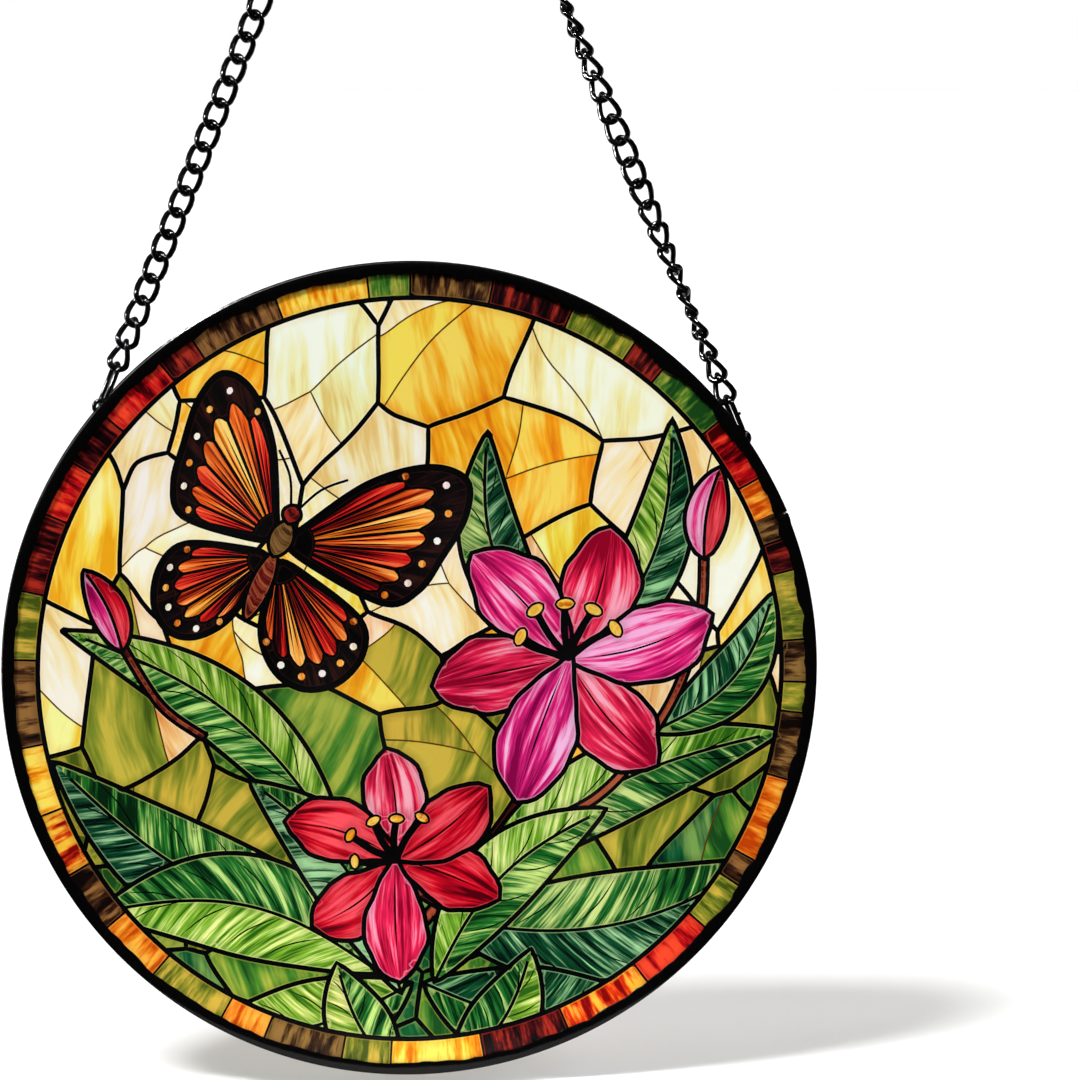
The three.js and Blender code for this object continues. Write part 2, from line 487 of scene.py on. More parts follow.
def addLeaf(base, tip, width, bend, palette, second):
    axis, one, other = ovalSides(base, tip, width, bend, 0.95, 0.85)
    for edge, tint, half, shift in ((one, palette, 1, 0.02), (other, second, -1, -0.1)):
        addCell(np.concatenate((edge, axis[-2:0:-1])), tint, axisFlow(axis, 0.9, width, half),
                (0.07, 0.55), 1.2, shift, 0)
    count = len(axis)
    for share in (0.22, 0.38, 0.54, 0.7):
        for edge in (one, other):
            start = axis[int(count * share)]
            end = edge[min(count - 2, int(count * (share + 0.2)))]
            middle = (start + end) / 2 + (end - start)[::-1] * (0.06, -0.06)
            addLine(smoothLine([start, middle, start + (end - start) * 0.93]), 0.13, taper=True)
    addLine(axis[:int(count * 0.94)], 0.3)
    addLine(ringOf(one, other), None, True)


def addRibbon(points, half, palette):
    line = smoothLine(points)
    normals = waysOf(line)[1] * half
    addCell(np.concatenate((line + normals, (line - normals)[::-1])), palette,
            axisFlow(line, 0, 2 * half), (0.05, 0.9), 0.9, 0.0, 0.36)


def addBlossom(centre, size, turn, tones):
    centre = np.array(centre, float)
    for number in (1, 3, 5, 0, 2, 4):
        angle = (turn + 60 * number + chance.uniform(-7, 7)) * degree
        length = size * (1.0 if number % 2 else 1.06) * chance.uniform(0.94, 1.04)
        way = unit(angle)
        addPetal(centre - way * size * 0.04, centre + way * length, size * 0.56,
                 chance.uniform(-0.1, 0.1) * size, tones[number % len(tones)])
    for number in range(5):
        angle = (turn + 20 + 31 * number) * degree
        way = unit(angle)
        side = np.array((-way[1], way[0]))
        reach = size * chance.uniform(0.34, 0.46)
        stalk = [centre, centre + way * reach * 0.5 + side * 0.5, centre + way * reach]
        addRibbon(stalk, 0.32, "gold")
        end, halfSpan = centre + way * reach, side * size * 0.07
        axis, one, other = ovalSides(end - halfSpan, end + halfSpan, size * 0.085, 0, 1, 0.5, 10)
        addCell(ringOf(one, other), "gold", plainFlow(angle), lead=0.22)


def addBud(base, tip, width, bend):
    axis, one, other = ovalSides(base, tip, width, bend, 0.9, 0.7)
    flow = axisFlow(axis, 0, width)
    addCell(np.concatenate((one, axis[-2:0:-1])), "magenta", flow, (0.05, 0.6), 1.1, 0.15, 0)
    addCell(np.concatenate((other, axis[-2:0:-1])), "crimson", flow, (0.05, 0.6), 1.1, 0.0, 0)
    addLine(axis[:-1], 0.3)
    addLine(ringOf(one, other), 0.42, True)


def addButterfly(centre, turn, size):
    centre = np.array(centre, float)
    cosine, sine = math.cos(turn * degree), math.sin(turn * degree)

    def place(points, mirror=1):
        points = np.array(points, float) * size
        points[..., 0] = points[..., 0] * (1 if mirror > 0 else -0.82)
        return centre + points @ np.array(((cosine, sine), (-sine, cosine)))

    lower = [(-4, 7), (-12, 20), (-24, 25), (-40, 27), (-55, 26), (-68, 22), (-80, 15), (-87, 6)]
    upper = [(66, 5), (60, 20), (52, 32), (43, 38), (32, 36), (18, 31), (4, 28), (-8, 23), (-16, 8)]
    tints = {"upper": ("wingRed", "wingOrange", "wingRed", "wingOrange", "wingGold", "wingOrange", "wingRed"),
             "lower": ("wingOrange", "wingRed", "wingGold", "wingOrange", "wingRed", "wingOrange", "wingRed")}
    for mirror in (-1, 1):
        for name, rays, root, bounds in (("lower", lower, (1.4, -1.5), (-80, -10)),
                                         ("upper", upper, (1.4, 2.5), (-9, 58))):
            root = np.array(root)
            angles, reaches = np.array(rays[::-1], float).T
            ring = [root + r * unit(a * degree) for a, r in zip(angles, reaches)]
            outline = place(smoothLine([root] + ring, True), mirror)
            middle = place(root, mirror)
            flow = polarFlow(middle, 30 * size, 0.55)
            addCell(outline, "soot", flow, (0.05, 0.8), 0.8, -0.1, 0.62)
            count = len(tints[name])
            edges = np.linspace(*bounds, count + 1)
            for number in range(count):
                low, high = edges[number] + 0.2, edges[number + 1] - 0.2
                arc = np.linspace(low, high, 7)
                far = np.interp(arc, angles, reaches) * 0.83
                bow = 1 - 0.09 * np.abs(np.linspace(-1, 1, 7)) ** 2
                outer = [root + r * b * unit(a * degree) for a, r, b in zip(arc, far, bow)]
                near = 5.5 if name == "upper" else 4.5
                inner = [root + near * unit(a * degree) for a in (high, low)]
                shape = place(straightLine(outer + inner + outer[:1])[:-1], mirror)
                addCell(shape, tints[name][number], flow, (0.035, 0.9), 1.15, 0.0, 0.24, False)
                for share in (0.33, 0.67):
                    a = (low + (high - low) * share) * degree
                    r = float(np.interp(a / degree, angles, reaches))
                    ray = straightLine([root + unit(a) * r * 0.2, root + unit(a) * r * 0.74])
                    addLine(place(ray, mirror), 0.13, taper=True)
                a = (low + high) / 2 * degree
                r = float(np.interp((low + high) / 2, angles, reaches)) * 0.9
                dot = root + r * unit(a)
                circle = [dot + 0.75 * unit(t) for t in np.linspace(0, 2 * math.pi, 9)[:-1]]
                addCell(place(circle, mirror), "pearl" if number % 2 else "wingGold", plainFlow(0), lead=0)
    bodyParts = ((-15, 0.5, 4.2, "stem"), (-1, 7, 4.8, "umber"), (6.2, 10.2, 3.8, "maroon"))
    for low, high, width, palette in bodyParts:
        axis, one, other = ovalSides(place((0, low)), place((0, high)), width * size, 0, 1, 0.6, 16)
        addCell(ringOf(one, other), palette, axisFlow(axis, 1.0, width), (0.1, 0.9), 1, 0.1, 0.34)
    for side in (-1, 1):
        addLine(place(smoothLine([(side * 0.8, 9.6), (side * 3.4, 15), (side * 7.5, 19)])), 0.24)


def clipped(polygon, point, normal):
    # what is left of a polygon on the near side of a line
    kept = []
    for a, b in zip(polygon, polygon[1:] + polygon[:1]):
        farA, farB = float(np.dot(a - point, normal)), float(np.dot(b - point, normal))
        if farA <= 0:
            kept.append(a)
        if (farA < 0) != (farB < 0) and abs(farA - farB) > 1e-9:
            kept.append(a + (b - a) * farA / (farA - farB))
    return kept


def nearestCells(boundary, seeds):
    cells = []
    for seed in seeds:
        polygon = boundary
        for other in seeds:
            if other is not seed and polygon:
                polygon = clipped(polygon, (seed + other) / 2, other - seed)
        cells.append(polygon)
    return cells


def wavered(points):
    shifted = []
    for x, y in points:
        slow = noise.noise_vector(Vector((x * 0.021, y * 0.021, 3.7)))
        quick = noise.noise_vector(Vector((x * 0.07, y * 0.07, 8.1)))
        shifted.append((x + slow.x * 13 + quick.x * 2.2, y + slow.y * 13 + quick.y * 2.2))
    return np.array(shifted)


def addPanes():
    # background glass: large panes in thick lines, each split again by thin ones
    edge = [unit(a) * 92 for a in np.linspace(0, 2 * math.pi, 25)[:-1]]
    seeds = []
    for row in range(-4, 5):
        for column in range(-3, 4):
            x = column * 27 + (13 if row % 2 else 0) + chance.uniform(-7, 7)
            y = row * 20 + chance.uniform(-6, 6)
            if math.hypot(x, y) < 84:
                seeds.append(np.array((x, y)))
    for seed, pane in zip(seeds, nearestCells(edge, seeds)):
        if len(pane) < 3:
            continue
        place = wavered([seed])[0]
        height = place[1] + 6 * math.sin(place[0] * 0.05) + chance.uniform(-7, 7)
        if height > 24:
            choice = ("cream", "lemon", "cream", "amber", "cream")
        elif height > 0:
            choice = ("lemon", "cream", "peach", "cream", "amber")
        elif height > -20:
            choice = ("peach", "orange", "amber", "olive")
        else:
            choice = ("olive", "moss", "deepGreen", "moss")
        palette = chance.choice(choice)
        parts = chance.choice((2, 3, 3)) if height > -20 else chance.choice((1, 2))
        smaller = [seed + np.array((chance.uniform(-9, 9), chance.uniform(-9, 9))) for _ in range(parts)]
        if len(smaller) > 1:
            for part in nearestCells(pane, smaller):
                if len(part) < 3:
                    continue
                tint = palette if chance.random() < 0.6 else chance.choice(choice)
                shape = wavered(straightLine(part + part[:1])[:-1])
                addCell(shape, tint, plainFlow(chance.uniform(-0.5, 0.5)), (0.035, 0.2), 1.2, 0.16, 0)
                addLine(shape, picture["hairHalf"], True, "hair")
            addLine(wavered(straightLine(pane + pane[:1])[:-1]), None, True)
        else:
            shape = wavered(straightLine(pane + pane[:1])[:-1])
            addCell(shape, palette, plainFlow(chance.uniform(-0.6, 0.6)), (0.035, 0.2), 1.1)


def addBorder():
    ring = picture["ringRadius"]

    def flow(points):
        return np.hypot(*points.T), np.arctan2(points[:, 1], points[:, 0]) * ring, np.zeros(len(points))

    def arc(radius, start, end):
        count = max(3, round((end - start) * radius / 2.2))
        return [radius * unit(a) for a in np.linspace(start, end, count)]

    start, least, before = 0.4, 0.06, ""
    angle, end = start, start + 2 * math.pi
    choices = ("fire", "umber", "maroon", "olive", "ruby", "umber", "moss", "amber", "maroon", "orange",
               "umber")
    while angle < end - least:
        wide = min(chance.uniform(0.07, 0.24), end - angle)
        if end - angle - wide < least:
            wide = end - angle
        palette = chance.choice([name for name in choices if name != before])
        before = palette
        shape = np.array(arc(76, angle, angle + wide) + arc(ring, angle + wide, angle))
        addCell(shape, palette, flow, (0.1, 0.42), 1.5, chance.uniform(-0.1, 0.15), 0)
        addLine(straightLine([unit(angle) * ring, unit(angle) * 74.1]), 0.2)
        angle += wide
    addLine(np.array(arc(ring, 0, 2 * math.pi)[:-1]), picture["ringHalf"], True)


def drawPicture():
    noise.seed_set(picture["noiseSeed"])
    addPanes()
    # stems and the leaves behind
    addRibbon([(-9, -72), (-2, -52), (8, -40), (20, -24), (28, -6)], 1.1, "stem")
    addRibbon([(6, -44), (-10, -34), (-28, -20), (-41, -4)], 0.8, "stem")
    leavesBehind = [
        ((-2, -50), (-66, -16), 19, 7, "leafDark", "leaf"),
        ((4, -46), (66, -36), 20, -7, "leaf", "leafDark"),
        ((10, -40), (69, -12), 15, 5, "leafLime", "leaf"),
        ((-12, -34), (-64, 8), 13, -7, "leaf", "leafLime"),
        ((44, -12), (67, 14), 11, -5, "leafDark", "leaf"),
        ((-6, -56), (-58, -44), 19, -7, "leafLime", "leaf"),
        ((28, 2), (14, 44), 12, 6, "leaf", "leafDark"),
        ((30, 0), (48, 46), 12, -6, "leafLime", "leafDark"),
    ]
    for leaf in leavesBehind:
        addLeaf(*leaf)
    addRibbon([(14, -32), (34, -24), (47, -8), (53, 8), (54, 21)], 0.8, "stem")
    addBud((54, 20), (57, 37), 8, 1.0)
    addRibbon([(-38, -12), (-46, -6), (-53, 5)], 0.7, "stem")
    addBud((-53, 4), (-60, 19), 7, -1.0)
    addBlossom((29, 2), 26, 12, ("magenta", "rose", "magenta", "rose"))
    leavesFront = [
        ((0, -58), (-40, -66), 17, 4, "leaf", "leafLime"),
        ((2, -58), (46, -62), 19, -5, "leafDark", "leaf"),
        ((-2, -60), (-30, -20), 15, -5, "leafDark", "leaf"),
        ((4, -58), (36, -26), 14, 5, "leafLime", "leaf"),
    ]
    for leaf in leavesFront:
        addLeaf(*leaf)
    addBlossom((-3, -35), 21, 38, ("crimson", "rose", "crimson"))
    addLeaf((-2, -76), (-14, -54), 12, 2, "leafLime", "leaf")
    addLeaf((6, -76), (22, -52), 13, -3, "leaf", "leafLime")
    addButterfly((-25, 22), -24, 0.92)
    addBorder()


def insidePolygon(points, polygon):
    found = np.zeros(len(points), bool)
    x, y = points[:, 0], points[:, 1]
    for (x1, y1), (x2, y2) in zip(polygon, np.roll(polygon, -1, axis=0)):
        crossed = (y1 > y) != (y2 > y)
        if crossed.any():
            found[crossed] ^= x[crossed] < (x2 - x1) * (y[crossed] - y1) / (y2 - y1) + x1
    return found


def nearBox(points, line, margin):
    low, high = line.min(axis=0) - margin, line.max(axis=0) + margin
    return np.nonzero(((points > low) & (points < high)).all(axis=1))[0]


def insideLayer(points, layer):
    # which of the points a layer covers
    line = layer["line"]
    if layer["kind"] == "cell":
        near = nearBox(points, line, 0)
        return near[insidePolygon(points[near], line)]
    near = nearBox(points, line, 1)
    found = np.zeros(len(near), bool)
    halves = layer["halves"]
    last = len(line) if layer["closed"] else len(line) - 1
    for i in range(last):
        a, b = line[i], line[(i + 1) % len(line)]
        span = b - a
        share = np.clip((points[near] - a) @ span / max(span @ span, 1e-9), 0, 1)
        gap = np.hypot(*(points[near] - a - share[:, None] * span).T)
        found |= gap < halves[i] + (halves[(i + 1) % len(line)] - halves[i]) * share
    return near[found]


def visibleEdges():
    # the two sides of each line, where nothing painted later hides them
    points, edges, middles = [], [], []
    for index, layer in enumerate(layers):
        if layer["kind"] == "cell" and layers[index + 1]["line"] is layer["line"]:
            continue
        line, closed = layer["line"], True
        hidden = np.hypot(*line.T) > 74.15
        for other in layers[index + 1:]:
            if other["kind"] == "cell" and not hidden.all():
                hidden[insideLayer(line, other)] = True
        if layer["kind"] == "line":
            closed = layer["closed"]
            ways = np.gradient(line, axis=0)
            if closed:
                ways = np.roll(line, -1, axis=0) - np.roll(line, 1, axis=0)
            ways = ways / np.maximum(np.linalg.norm(ways, axis=1), 1e-9)[:, None]
            normals = np.stack((-ways[:, 1], ways[:, 0]), axis=1) * layer["halves"][:, None]
            sides = (line + normals, line - normals)
            for i in range(len(line) if closed else len(line) - 1):
                following = (i + 1) % len(line)
                if layer["halves"][i] > 0.19 and not (hidden[i] and hidden[following]):
                    for share in (0, 0.5):
                        middles.append((*(line[i] + (line[following] - line[i]) * share), layer["halves"][i]))
        else:
            sides = (line,)
        for side in sides:
            start = len(points)
            points += [tuple(p) for p in side]
            for i in range(len(line) if closed else len(line) - 1):
                following = (i + 1) % len(line)
                if not (hidden[i] and hidden[following]):
                    edges.append((start + i, start + following))
        if layer["kind"] == "line" and not closed:
            edges += [(start + i, start + i - len(line)) for i in (0, len(line) - 1) if not hidden[i]]
    return points, edges, middles


def partitionPicture():
    points, edges, middles = visibleEdges()
    used = sorted({index for edge in edges for index in edge})
    number = {index: count for count, index in enumerate(used)}
    points = [points[index] for index in used]
    limit = (discBox[1].x - discBox[0].x) / 2 / mm
    points = [tuple(np.array(p) * min(1, (limit - 0.06) / max(math.hypot(*p), 1e-9))) for p in points]
    edges = [(number[a], number[b]) for a, b in edges]
    start, count = len(points), picture["rimSteps"]
    points += [(limit * math.cos(2 * math.pi * i / count), limit * math.sin(2 * math.pi * i / count))
               for i in range(count)]
    edges += [(start + i, start + (i + 1) % count) for i in range(count)]
    grid = picture["grid"]
    rows = int(limit / (grid * 0.866))
    for row in range(-rows, rows + 1):
        for column in range(-rows, rows + 1):
            x, y = (column + 0.5 * (row % 2)) * grid, row * grid * 0.866
            if math.hypot(x, y) < limit - 0.5 * grid:
                points.append((x, y))
    cut = geometry.delaunay_2d_cdt([Vector(p) for p in points], edges, [], 0, 0.004)
    return np.array([tuple(v) for v in cut[0]]), np.array([tuple(f) for f in cut[2]]), middles


def paintDisc():
    drawPicture()
    print("picture drawn:", len(layers), "layers")
    verts, faces, middles = partitionPicture()
    print("picture cut up:", len(faces), "faces")
    centres = verts[faces].mean(axis=1)
    owner = np.zeros(len(faces), int)
    for index, layer in enumerate(layers):
        owner[insideLayer(centres, layer)] = index
    tree = kdtree.KDTree(len(middles))
    for index, (x, y, half) in enumerate(middles):
        tree.insert((x, y, 0), index)
    tree.balance()
    gaps = np.zeros(len(verts))
    for index, (x, y) in enumerate(verts):
        spot, nearest, gap = tree.find((x, y, 0))
        gaps[index] = max(0, gap - middles[nearest][2])
    corners = faces.reshape(-1)
    cornerOwner = np.repeat(owner, 3)
    flow = np.zeros((len(corners), 3))
    shade = np.ones((len(corners), 4))
    tones = np.ones((3, len(corners), 4))
    shade[:, 1] = gaps[corners]
    flat = (gaps[faces] < 0.05).all(axis=1)
    shade[np.repeat(flat, 3), 1] = 0.6
    for index in np.unique(owner):
        layer = layers[index]
        mine = np.nonzero(cornerOwner == index)[0]
        spots = verts[corners[mine]]
        jitter = layer.get("jitter", (1, 1, 1))
        for tone in range(3):
            color = np.array(linear(palettes[layer["palette"]][tone])) * jitter
            tones[tone, mine, :3] = np.clip(color, 0, 1)
        if layer["kind"] == "cell":
            u, v, bias = layer["flow"](spots)
            flow[mine] = np.stack((u * layer["stretch"][0], v * layer["stretch"][1],
                                   np.full(len(mine), layer["seed"])), axis=1)
            shade[mine, 0] = bias * 0.5 + layer["shift"] + 0.5
            shade[mine, 2] = layer["contrast"] * 0.5
            if not layer["paleEdge"]:
                shade[mine, 1] = 5
        else:
            flow[mine, :2] = spots * 0.3
            shade[mine, 0] = 0.5
            shade[mine, 1] = 5
            shade[mine, 2] = 0.1
    return verts, faces, flow, shade, tones


def makeDisc():
    verts, faces, flow, shade, tones = paintDisc()
    deselectAll()
    bpy.ops.mesh.primitive_circle_add(vertices=3, radius=0.001)
    piece = bpy.context.object
    front = discCentre.y - discThickness / 2
    placed = [(discCentre.x + x * mm, front, discCentre.z + y * mm) for x, y in verts]
    mesh = bpy.data.meshes.new("acrylicDisc")
    mesh.from_pydata(placed, [], [tuple(int(i) for i in face) for face in faces])
    piece.data = mesh
    mesh.attributes.new("flow", "FLOAT_VECTOR", "CORNER").data.foreach_set("vector", flow.ravel())
    for name, values in (("shade", shade), ("toneDark", tones[0]), ("toneMiddle", tones[1]),
                         ("toneLight", tones[2])):
        mesh.attributes.new(name, "FLOAT_COLOR", "CORNER").data.foreach_set("color", values.ravel())
    pickOnly(piece)
    bpy.ops.object.mode_set(mode="EDIT")
    bpy.ops.mesh.select_all(action="SELECT")
    bpy.ops.mesh.extrude_region_move(TRANSFORM_OT_translate={"value": (0, discThickness, 0)})
    bpy.ops.mesh.select_all(action="SELECT")
    bpy.ops.mesh.normals_make_consistent(inside=False)
    leaveEditMode()
    piece.name = piece.data.name = "acrylicDisc"
    return piece


glass = {"streaks": 2.3, "threads": 1.2, "clouds": 1.1, "cloudSize": 42, "gloss": (0.16, 0.28)}


def glassMaterial():
    # three tones of each colour run into each other in streaks, with a pale line beside the black ones
    material, tree, shader = newMaterial("printedGlass")

    def attribute(name):
        return addNode(tree, "ShaderNodeAttribute", attribute_name=name)

    def sums(kind, one, other, third=None):
        node = addNode(tree, "ShaderNodeMath", operation=kind)
        for index, value in enumerate((one, other, third)):
            if isinstance(value, (int, float)):
                node.inputs[index].default_value = value
            elif value is not None:
                tree.links.new(value, node.inputs[index])
        return node.outputs[0]

    def mixed(share, one, other, kind="MIX"):
        node = addNode(tree, "ShaderNodeMix", data_type="RGBA", blend_type=kind)
        for socket, value in ((node.inputs[0], share), (node.inputs[6], one), (node.inputs[7], other)):
            if isinstance(value, (int, float, tuple)):
                socket.default_value = value
            else:
                tree.links.new(value, socket)
        return node.outputs[2]

    flow = attribute("flow").outputs["Vector"]
    place = addNode(tree, "ShaderNodeTexCoord").outputs["Object"]
    finer = addNode(tree, "ShaderNodeVectorMath", operation="MULTIPLY")
    tree.links.new(flow, finer.inputs[0])
    finer.inputs[1].default_value = (2.1, 3.3, 1.7)
    streaks = noiseNode(tree, flow, 1.0, 3, 0.55)
    threads = noiseNode(tree, finer.outputs[0], 1.0, 3, 0.6)
    clouds = noiseNode(tree, place, glass["cloudSize"], 2, 0.5)
    parts = addNode(tree, "ShaderNodeSeparateColor")
    tree.links.new(attribute("shade").outputs["Color"], parts.inputs[0])
    bias, edge, contrast = parts.outputs
    total = sums("MULTIPLY", sums("SUBTRACT", streaks, 0.5), glass["streaks"])
    total = sums("MULTIPLY_ADD", sums("SUBTRACT", threads, 0.5), glass["threads"], total)
    total = sums("MULTIPLY_ADD", sums("SUBTRACT", clouds, 0.5), glass["clouds"], total)
    tone = sums("MULTIPLY_ADD", total, sums("MULTIPLY", contrast, 2.0), bias)
    color = mixed(rangeOf(tree, tone, 0.1, 0.5, 0, 1), attribute("toneDark").outputs["Color"],
                  attribute("toneMiddle").outputs["Color"])
    color = mixed(rangeOf(tree, tone, 0.52, 0.95, 0, 1), color, attribute("toneLight").outputs["Color"])
    color = mixed(rangeOf(tree, edge, 0.2, 1.5, 0.3, 0.0), color, attribute("toneDark").outputs["Color"])
    color = mixed(rangeOf(tree, edge, 0.08, 0.24, 0.4, 0.0), color, attribute("toneLight").outputs["Color"])
    tree.links.new(color, shader.inputs["Base Color"])
    tree.links.new(rangeOf(tree, clouds, 0.3, 0.7, *glass["gloss"]), shader.inputs["Roughness"])
    shader.inputs["Specular IOR Level"].default_value = 0.22
    return material


acrylicDisc = makeDisc()
handOver(acrylicDisc, "acrylic_disc", glassMaterial())
print("disc made:", len(acrylicDisc.data.polygons), "faces")


# links, eyes and the chain
links = {
    "wire": 1.12 * mm,
    "length": 6.54 * mm,
    "width": 4.6 * mm,
    "twist": 45,              # degrees, from the middle of a link to either end
    "gap": 0.3 * mm,          # what the CAD's links keep between each other
    "leftCount": 33,
    "rightCount": 35,
    "leftTurns": [(0, -45), (0.2, 0), (0.9, 0), (1, -45)],
    "rightTurns": [(0, -225), (0.49, -90), (1, 135)],
    "unevenTurn": 3,          # degrees
    "topTilt": 15,            # degrees, of the top link
}
endLinks = {
    "wire": 0.96 * mm,
    "length": 9.16 * mm,
    "width": 4.4 * mm,
    "leftTurn": 13.5,         # degrees from edge-on
    "rightTurn": 12,
    "stub": 0.55 * mm,        # how far the wire's end stands off the right one
}
eyes = {                      # sink: how much closer to the disc's middle than in the CAD
    "left": {"wire": 0.85 * mm, "inside": 0.75 * mm, "sink": 0.75 * mm},
    "right": {"wire": 0.95 * mm, "inside": 0.6 * mm, "sink": 1.0 * mm},
}


def makeLoop(wire, length, width, twist, round=44, around=12):
    # a ring of wire is pulled apart into a link, then twisted along its length
    deselectAll()
    bend = (width - wire) / 2
    bpy.ops.mesh.primitive_torus_add(
        major_radius=bend, minor_radius=wire / 2, major_segments=round, minor_segments=around,
        rotation=(90 * degree, 0, 0))
    piece = bpy.context.object
    placeInMesh(piece)
    pull = (length - width) / 2
    for side in (-1, 1):
        selectVerts(piece, lambda co, side=side: co.z * side > 0.0001 * mm)
        bpy.ops.transform.translate(value=(0, 0, side * pull))
        leaveEditMode()
    if twist:
        selectVerts(piece, lambda co: abs(co.z) < pull * 1.3)
        bpy.ops.mesh.subdivide(number_cuts=2)
        leaveEditMode()
        turn = piece.modifiers.new("twist", "SIMPLE_DEFORM")
        turn.deform_method = "TWIST"
        turn.deform_axis = "Z"
        turn.angle = -2 * twist * degree * length / (length - wire)
        applyModifiers(piece)
    smoothFaces(piece, 60)
    return piece


def turnAt(turns, share):
    for (fromWay, fromTurn), (toWay, toTurn) in zip(turns, turns[1:]):
        if share <= toWay:
            return fromTurn + (toTurn - fromTurn) * (share - fromWay) / (toWay - fromWay)
    return turns[-1][1]


def layOutSide(node, count, ring):
    # the end link's middle is on the line from the hook to the eye, so it gives the eye's place
    low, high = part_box(node)
    down = Vector(((low.x + high.x) / 2, 0, (low.z + high.z) / 2))
    halfLink = (links["length"] - links["wire"]) / 2
    halfEnd = (endLinks["length"] - endLinks["wire"]) / 2
    pitch = 2 * halfLink - links["wire"]
    lastBottom = down.length - halfEnd + (links["wire"] + endLinks["wire"]) / 2 + links["gap"]
    firstTop = lastBottom - 2 * halfLink - (count - 1) * pitch + links["gap"]
    # how far the end link's lower wire is from the eye's middle
    reach = ring["inside"] - endLinks["wire"] / 2
    eye = down.normalized() * (down.length + halfEnd + 0.2 * mm)
    out = eye - Vector((discCentre.x, 0, discCentre.z))
    eye -= out.normalized() * ring["sink"]
    side = {"lean": math.atan2(eye.x, -eye.z), "eye": eye}
    # the looks close the CAD's gaps: every link bears on the next
    side["endMiddle"] = eye.length - reach - halfEnd
    lastBottom = side["endMiddle"] - halfEnd + (links["wire"] + endLinks["wire"]) / 2
    side["pitch"] = (lastBottom - firstTop - 2 * halfLink) / (count - 1)
    side["firstMiddle"] = firstTop + halfLink
    return side


leftSide = layOutSide("end_link_left", links["leftCount"], eyes["left"])
rightSide = layOutSide("end_link_right", links["rightCount"], eyes["right"])


def alongSide(side, distance, turn):
    # turns a link about the chain, then puts it on the line down from the hook
    return (Matrix.Rotation(-side["lean"], 4, "Y") @ Matrix.Translation((0, 0, -distance))
            @ Matrix.Rotation(turn * degree, 4, "Z"))


def makeChain(name, side, count, turns, seed):
    chance = random.Random(seed)
    model = makeLoop(links["wire"], links["length"], links["width"], links["twist"])
    copies = []
    for index in range(count):
        turn = turnAt(turns, index / (count - 1)) + chance.uniform(-1, 1) * links["unevenTurn"]
        middle = side["firstMiddle"] + index * side["pitch"]
        copies.append(copyOf(model, alongSide(side, middle, turn)))
    bpy.data.objects.remove(model)
    return joinPieces(copies, name)


def makeEndLink(name, side, turn, stub):
    piece = makeLoop(endLinks["wire"], endLinks["length"], endLinks["width"], 0)
    if stub:
        # the wire's cut end, bent out of the link's row
        deselectAll()
        across = (endLinks["width"] - endLinks["wire"]) / 2
        bpy.ops.mesh.primitive_uv_sphere_add(
            segments=16, ring_count=10, radius=endLinks["wire"] * 0.36,
            location=(-across, -stub, 0.5 * mm))
        end = bpy.context.object
        placeInMesh(end)
        piece = joinPieces([piece, end], name)
        smoothFaces(piece, 50)
    piece.data.transform(alongSide(side, side["endMiddle"], 90 + turn))
    piece.name = piece.data.name = name
    return piece


chainLeft = makeChain("chainLeft", leftSide, links["leftCount"], links["leftTurns"], 11)
chainRight = makeChain("chainRight", rightSide, links["rightCount"], links["rightTurns"], 12)
endLinkLeft = makeEndLink("endLinkLeft", leftSide, endLinks["leftTurn"], 0)
endLinkRight = makeEndLink("endLinkRight", rightSide, endLinks["rightTurn"], endLinks["stub"])
for piece, node in ((chainLeft, "chain_left"), (chainRight, "chain_right"),
                    (endLinkLeft, "end_link_left"), (endLinkRight, "end_link_right")):
    handOver(piece, node, chainEnamel)
print("chain made:", len(chainLeft.data.vertices) + len(chainRight.data.vertices), "points")


def makeTopLink():
    piece = makeLoop(links["wire"], links["length"], links["width"], 0)
    low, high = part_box("top_link")
    turn = Matrix.Rotation((90 - links["topTilt"]) * degree, 4, "Y")
    piece.data.transform(Matrix.Translation((low + high) / 2) @ turn)
    piece.name = piece.data.name = "topLink"
    return piece


topLink = makeTopLink()
handOver(topLink, "top_link", chainEnamel)


def makeEye(name, side, ring):
    # a ring of wire, cut off level with the strip's wall, whose two ends run on into the wall
    deselectAll()
    out = side["eye"] - Vector((discCentre.x, 0, discCentre.z))
    level = stripRadius - out.length
    bpy.ops.mesh.primitive_torus_add(
        major_radius=ring["inside"] + ring["wire"] / 2, minor_radius=ring["wire"] / 2,
        major_segments=40, minor_segments=14, rotation=(90 * degree, 0, 0))
    piece = bpy.context.object
    placeInMesh(piece)
    selectVerts(piece, lambda co: True)
    bpy.ops.mesh.bisect(plane_co=(0, 0, level), plane_no=(0, 0, 1), use_fill=True, clear_inner=True)
    leaveEditMode()
    selectVerts(piece, lambda co: abs(co.z - level) < 0.01 * mm)
    bpy.ops.mesh.extrude_region_move(TRANSFORM_OT_translate={"value": (0, 0, -0.3 * mm)})
    leaveEditMode()
    closeAndTurnOut(piece)
    smoothFaces(piece, 50)
    turn = Matrix.Rotation(math.atan2(out.x, out.z), 4, "Y")
    piece.data.transform(Matrix.Translation(side["eye"]) @ turn)
    piece.name = piece.data.name = name
    return piece


eyeLeft = makeEye("hangingEyeLeft", leftSide, eyes["left"])
eyeRight = makeEye("hangingEyeRight", rightSide, eyes["right"])
handOver(eyeLeft, "hanging_eye_left", chainEnamel)
handOver(eyeRight, "hanging_eye_right", chainEnamel)
print("eyes and top link made")


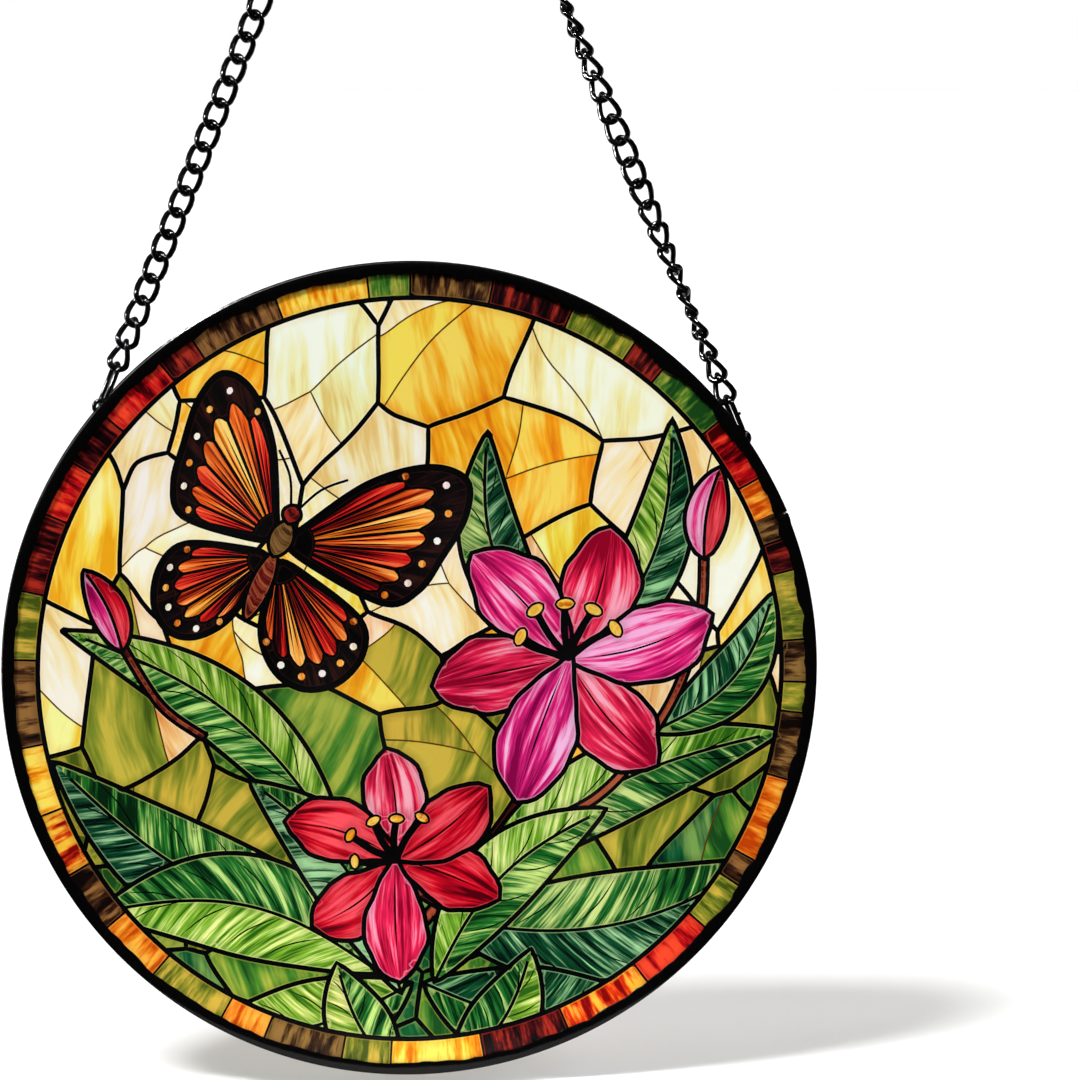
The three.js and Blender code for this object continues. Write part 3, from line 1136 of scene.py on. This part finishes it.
# floor, light and camera
stage = {
    "floorDrop": 2.0 * mm,
    "floorSize": 12.0,
    "floorFront": 40 * mm,    # how far the floor reaches in front of the disc
    "floorColor": (0.9, 0.9, 0.9),
    "lens": 200,
    "azimuth": -4.3,
    "elevation": 6.4,
    "distance": 1.1035,
    "aimAcross": 23.6 * mm,   # from the disc's middle to the middle of the view
    "aimUp": 23.7 * mm,
    "backdrop": 0.9,          # brightness of the white card straight behind
    "room": (0.02, 0.28),     # and of the rest, level and overhead
}


def makeFloor():
    deselectAll()
    radius = stage["floorSize"] / 2
    bpy.ops.mesh.primitive_circle_add(
        vertices=96, radius=radius, fill_type="NGON",
        location=(0, radius - stage["floorFront"], stripBox[0].z - stage["floorDrop"]))
    floor = bpy.context.object
    floor.name = "floor"
    placeInMesh(floor)
    material, _, shader = newMaterial("paleFloor")
    shader.inputs["Base Color"].default_value = (*stage["floorColor"], 1)
    shader.inputs["Roughness"].default_value = 0.9
    floor.data.materials.append(material)


def makeWorld():
    # plain white to the camera, and a dim room with a white card behind for everything else
    world = bpy.data.worlds.new("studio")
    bpy.context.scene.world = world
    world.use_nodes = True
    tree = world.node_tree
    background = tree.nodes["Background"]
    way = addNode(tree, "ShaderNodeSeparateXYZ")
    tree.links.new(addNode(tree, "ShaderNodeTexCoord").outputs["Generated"], way.inputs[0])
    card = rangeOf(tree, way.outputs["Y"], 0.86, 0.93, 0, stage["backdrop"])
    room = rangeOf(tree, way.outputs["Z"], 0.1, 1.0, *stage["room"])
    brightest = addNode(tree, "ShaderNodeMath", operation="MAXIMUM")
    tree.links.new(card, brightest.inputs[0])
    tree.links.new(room, brightest.inputs[1])
    path = addNode(tree, "ShaderNodeLightPath")
    mix = addNode(tree, "ShaderNodeMix", data_type="RGBA")
    tree.links.new(path.outputs["Is Camera Ray"], mix.inputs[0])
    tree.links.new(brightest.outputs[0], mix.inputs[6])
    mix.inputs[7].default_value = (1, 1, 1, 1)
    tree.links.new(mix.outputs[2], background.inputs["Color"])


def wayTo(azimuth, elevation):
    # an azimuth of 0 is straight in front, and less than 0 is to the left
    a, e = azimuth * degree, elevation * degree
    return Vector((math.sin(a) * math.cos(e), -math.cos(a) * math.cos(e), math.sin(e)))


def addSun(name, azimuth, elevation, strength, width, glint=False):
    # a glint lamp is seen in the gloss alone, and the others light the colours alone
    back = wayTo(azimuth, elevation)
    data = bpy.data.lights.new(name, "SUN")
    data.energy = strength
    data.angle = width * degree
    lamp = bpy.data.objects.new(name, data)
    lamp.visible_diffuse = not glint
    lamp.visible_glossy = glint
    bpy.context.collection.objects.link(lamp)
    lamp.rotation_euler = back.to_track_quat("Z", "Y").to_euler()


def makeCamera():
    back = wayTo(stage["azimuth"], stage["elevation"])
    camera = bpy.data.objects.new("camera", bpy.data.cameras.new("camera"))
    bpy.context.collection.objects.link(camera)
    camera.data.lens = stage["lens"]
    camera.data.clip_start = 0.01
    camera.location = discCentre + back * stage["distance"]
    aim = discCentre + Vector((stage["aimAcross"], 0, stage["aimUp"]))
    camera.rotation_mode = "QUATERNION"
    camera.rotation_quaternion = (aim - camera.location).to_track_quat("-Z", "Y")
    bpy.context.scene.camera = camera


makeFloor()
makeWorld()
addSun("key", -35, 46, 3.15, 14)
addSun("fill", 40, 24, 1.15, 30)
addSun("behind", 160, 40, 1.6, 20)
addSun("glintKey", -40, 47, 14, 8, True)
addSun("glintLeft", -72, 20, 7, 6, True)
addSun("glintRight", 52, 42, 7, 6, True)
makeCamera()
bpy.context.scene.view_settings.view_transform = "Standard"
print("stage made")
